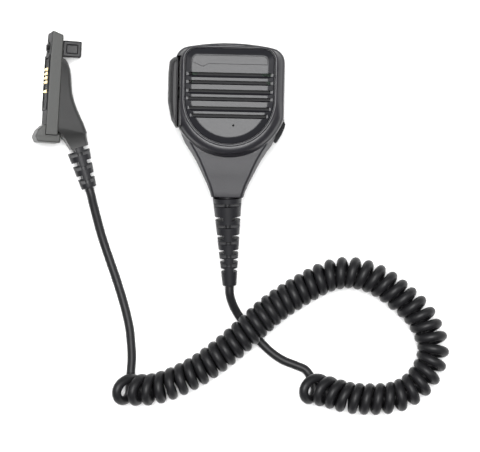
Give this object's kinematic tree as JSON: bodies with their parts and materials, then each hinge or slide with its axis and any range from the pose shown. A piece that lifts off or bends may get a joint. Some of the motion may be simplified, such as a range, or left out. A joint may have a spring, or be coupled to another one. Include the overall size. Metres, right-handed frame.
{
  "type": "hand microphone",
  "caption": "Speaker microphone for a two-way radio: louvred head with a side talk key, swivelling clip, jack flap, curly cord and a screw-on multi-contact plug.",
  "frame": {"origin": "point where the clip's swivel axis meets the flat back of the clip's arm, on which the microphone lies", "axes": "+Y up the microphone towards its top, +X to its right seen from the front, +Z out of its front"},
  "size_m": [0.2382, 0.2115, 0.0378],
  "materials": {
    "case_plastic": "fine spark-textured moulding",
    "panel_plastic": "satin moulding with a fine grain",
    "key_plastic": "satin",
    "dust_cloth": "fine black mesh",
    "cone_paper": "paper cone",
    "bare_steel": "bright",
    "magnet_plating": "satin",
    "soft_rubber": "matt",
    "flap_rubber": "matt",
    "relief_rubber": "satin",
    "cord_rubber": "satin polyurethane jacket",
    "wire_sleeve": "coloured sleeving",
    "board_laminate": "solder-masked laminate",
    "component_plastic": "moulded",
    "white_plastic": "natural nylon",
    "clip_plastic": "satin",
    "plug_plastic": "satin",
    "hood_plastic": "satin",
    "knob_plastic": "satin",
    "contact_gold": "gold plated"
  },
  "bodies": {
    "housing": {"front_cover": "case_plastic", "back_cover": "case_plastic", "grille_panel": "panel_plastic", "name_strip": "panel_plastic", "speaker_cloth": "dust_cloth", "speaker_frame": "bare_steel", "speaker_cone": "cone_paper", "speaker_magnet": "magnet_plating", "speaker_gasket": "soft_rubber", "mic_capsule": "magnet_plating", "mic_boot": "soft_rubber", "main_board": "board_laminate", "board_parts": "component_plastic", "ptt_seal": "soft_rubber", "ptt_switch": "component_plastic", "ptt_frame": "key_plastic", "jack_socket": "component_plastic", "body_seal": "soft_rubber", "case_screws": "bare_steel", "mic_relief": "relief_rubber", "cord_tail": "cord_rubber", "cord_clamp": "bare_steel", "inner_wires": "wire_sleeve", "cord_lead_mic": "cord_rubber", "cord_coil": "cord_rubber", "cord_lead_plug": "cord_rubber", "plug_frame": "plug_plastic", "plug_hood": "hood_plastic", "plug_contact_block": "component_plastic", "plug_contacts": "contact_gold", "plug_seal": "soft_rubber", "plug_board": "board_laminate", "plug_relief": "relief_rubber", "plug_tail": "cord_rubber"},
    "talk_key": {"ptt_button": "key_plastic", "ptt_plunger": "white_plastic"},
    "clip_swivel": {"clip_base": "clip_plastic", "clip_hub": "bare_steel", "clip_retainer": "bare_steel", "hub_screw": "bare_steel", "clip_pin": "bare_steel", "clip_spring": "bare_steel"},
    "clip_jaw": {"clip_arm": "clip_plastic"},
    "jack_flap": {"jack_cover": "flap_rubber"},
    "thumb_screw": {"plug_screw": "knob_plastic", "plug_screw_clip": "bare_steel"}
  },
  "joints": [
    {"name": "talk_key_press", "type": "slide", "parent": "housing", "child": "talk_key", "axis": [1, 0, 0], "range_m": [0, 0.001], "stiffness_N_per_m": 1200, "springref_m": -0.0006},
    {"name": "clip_swivel_turn", "type": "hinge", "parent": "housing", "child": "clip_swivel", "pos_m": [0, 0, 0.012], "axis": [0, 0, 1], "continuous": true},
    {"name": "clip_jaw_open", "type": "hinge", "parent": "clip_swivel", "child": "clip_jaw", "pos_m": [0, 0.014, 0.006], "axis": [1, 0, 0], "range_deg": [0, 18], "stiffness_Nm_per_rad": 0.5, "springref_deg": -28.65},
    {"name": "jack_flap_hinge", "type": "hinge", "parent": "housing", "child": "jack_flap", "pos_m": [0.02969, -0.01022, 0.0182], "axis": [0, 0, 1], "range_deg": [0, 110]},
    {"name": "plug_screw_turn", "type": "hinge", "parent": "housing", "child": "thumb_screw", "pos_m": [-0.09946, 0.02786, 0.01213], "axis": [0.9775, -0.0358, -0.2079], "continuous": true}
  ]
}
